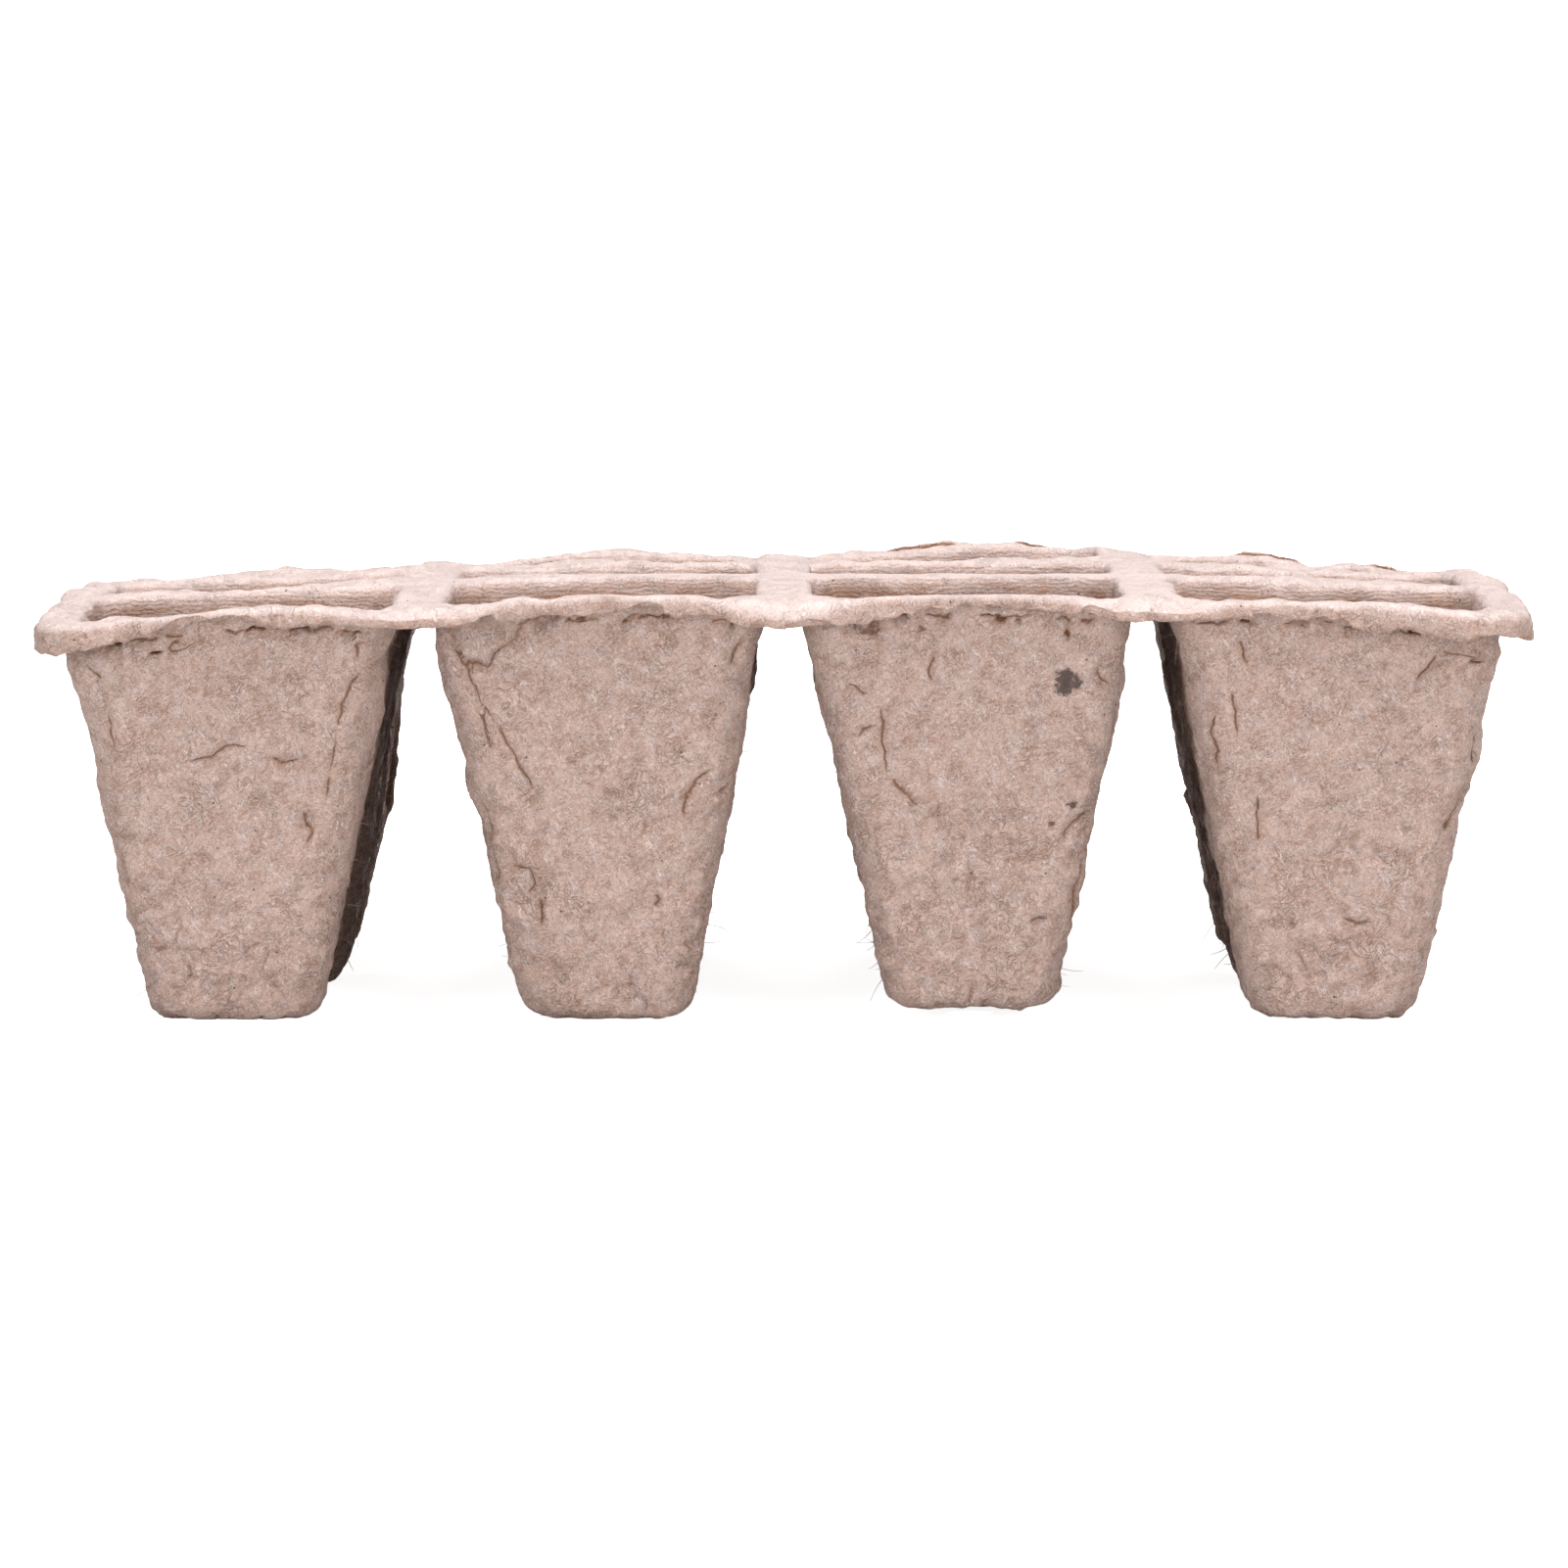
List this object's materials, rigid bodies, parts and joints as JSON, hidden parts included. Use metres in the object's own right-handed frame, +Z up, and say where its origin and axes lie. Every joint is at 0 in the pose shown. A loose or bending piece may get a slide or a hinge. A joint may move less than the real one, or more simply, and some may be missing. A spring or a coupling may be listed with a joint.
{
  "type": "peat pot tray",
  "caption": "Moulded pulp seed tray of square tapered pots joined at the rim, each with a drain hole in its floor.",
  "frame": {"origin": "centre of the tray's footprint, on the surface that the pots stand on", "axes": "+X along the row of four pots, +Y towards the back row, +Z up out of the mouths"},
  "size_m": [0.1842, 0.1392, 0.052],
  "materials": {
    "pulp": "rough matt brown pulp"
  },
  "bodies": {
    "root": {"front_pot_1": "pulp", "front_pot_2": "pulp", "front_pot_3": "pulp", "front_pot_4": "pulp", "middle_pot_1": "pulp", "middle_pot_2": "pulp", "middle_pot_3": "pulp", "middle_pot_4": "pulp", "back_pot_1": "pulp", "back_pot_2": "pulp", "back_pot_3": "pulp", "back_pot_4": "pulp"}
  },
  "joints": []
}
